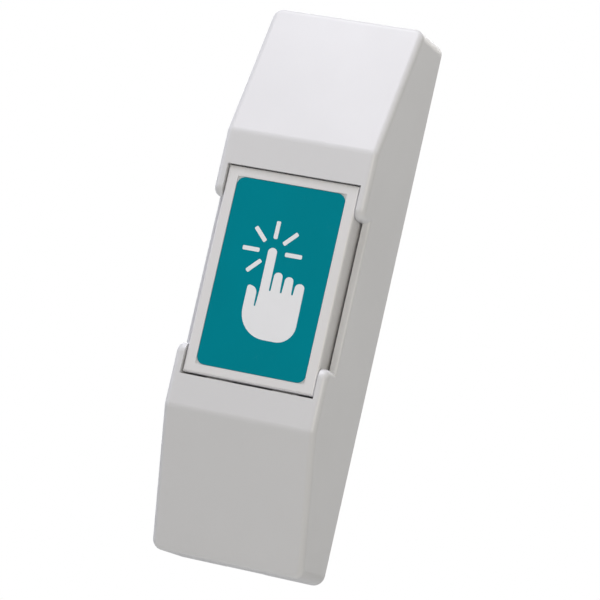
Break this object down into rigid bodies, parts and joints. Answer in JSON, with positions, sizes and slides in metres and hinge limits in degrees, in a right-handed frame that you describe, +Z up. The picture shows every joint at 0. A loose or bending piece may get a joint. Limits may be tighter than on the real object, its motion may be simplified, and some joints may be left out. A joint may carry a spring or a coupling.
{
  "type": "door exit button",
  "caption": "Slim surface-mounted push button for a door release, with a snap switch, return springs and a screw terminal block.",
  "frame": {"origin": "midway between the two wall screw holes, on the back face that lies on the wall", "axes": "+Y into the wall, front towards -Y, +Z up along the length, +X to the right seen from the front"},
  "size_m": [0.0308, 0.0226, 0.105],
  "materials": {
    "white_plastic": "satin moulded ABS",
    "label_print": "printed film",
    "spring_steel": "drawn wire",
    "board_laminate": "lacquered glass laminate",
    "screw_steel": "zinc plated",
    "switch_black": "satin moulded",
    "plunger_red": "satin moulded",
    "contact_metal": "tinned brass",
    "block_green": "satin moulded"
  },
  "bodies": {
    "casing": {"cover": "white_plastic", "base_plate": "white_plastic", "upper_spring": "spring_steel", "lower_spring": "spring_steel", "circuit_board": "board_laminate", "board_screws": "screw_steel", "switch_base": "switch_black", "switch_cap": "switch_black", "lever_pin": "screw_steel", "common_terminal": "contact_metal", "open_terminal": "contact_metal", "closed_terminal": "contact_metal", "terminal_block": "block_green", "wire_clamps": "screw_steel", "clamp_screws": "screw_steel", "block_pins": "contact_metal"},
    "button": {"button_cap": "white_plastic", "button_label": "label_print"},
    "lever": {"switch_lever": "screw_steel"},
    "plunger": {"switch_plunger": "plunger_red"},
    "blade": {"contact_blade": "contact_metal"}
  },
  "joints": [
    {"name": "button_press", "type": "slide", "parent": "casing", "child": "button", "axis": [0, 1, 0], "range_m": [0, 0.0016], "stiffness_N_per_m": 900, "springref_m": -0.0015, "deforming": ["upper_spring", "lower_spring"]},
    {"name": "lever_turn", "type": "hinge", "parent": "casing", "child": "lever", "pos_m": [-0.0053, -0.01277, 0], "axis": [0, 0, 1], "range_deg": [0, 8.65]},
    {"name": "plunger_slide", "type": "slide", "parent": "casing", "child": "plunger", "axis": [0, 1, 0], "range_m": [0, 0.000484]},
    {"name": "blade_turn", "type": "hinge", "parent": "casing", "child": "blade", "pos_m": [0.00508, -0.00903, 0], "axis": [0, 0, -1], "range_deg": [0, 3.85]}
  ],
  "couplings": [
    {"joint": "lever_turn", "follows": "button_press", "rad_per_m": 94.34},
    {"joint": "plunger_slide", "follows": "button_press", "ratio": 0.30189},
    {"joint": "blade_turn", "follows": "button_press", "rad_per_m": 42.045}
  ]
}
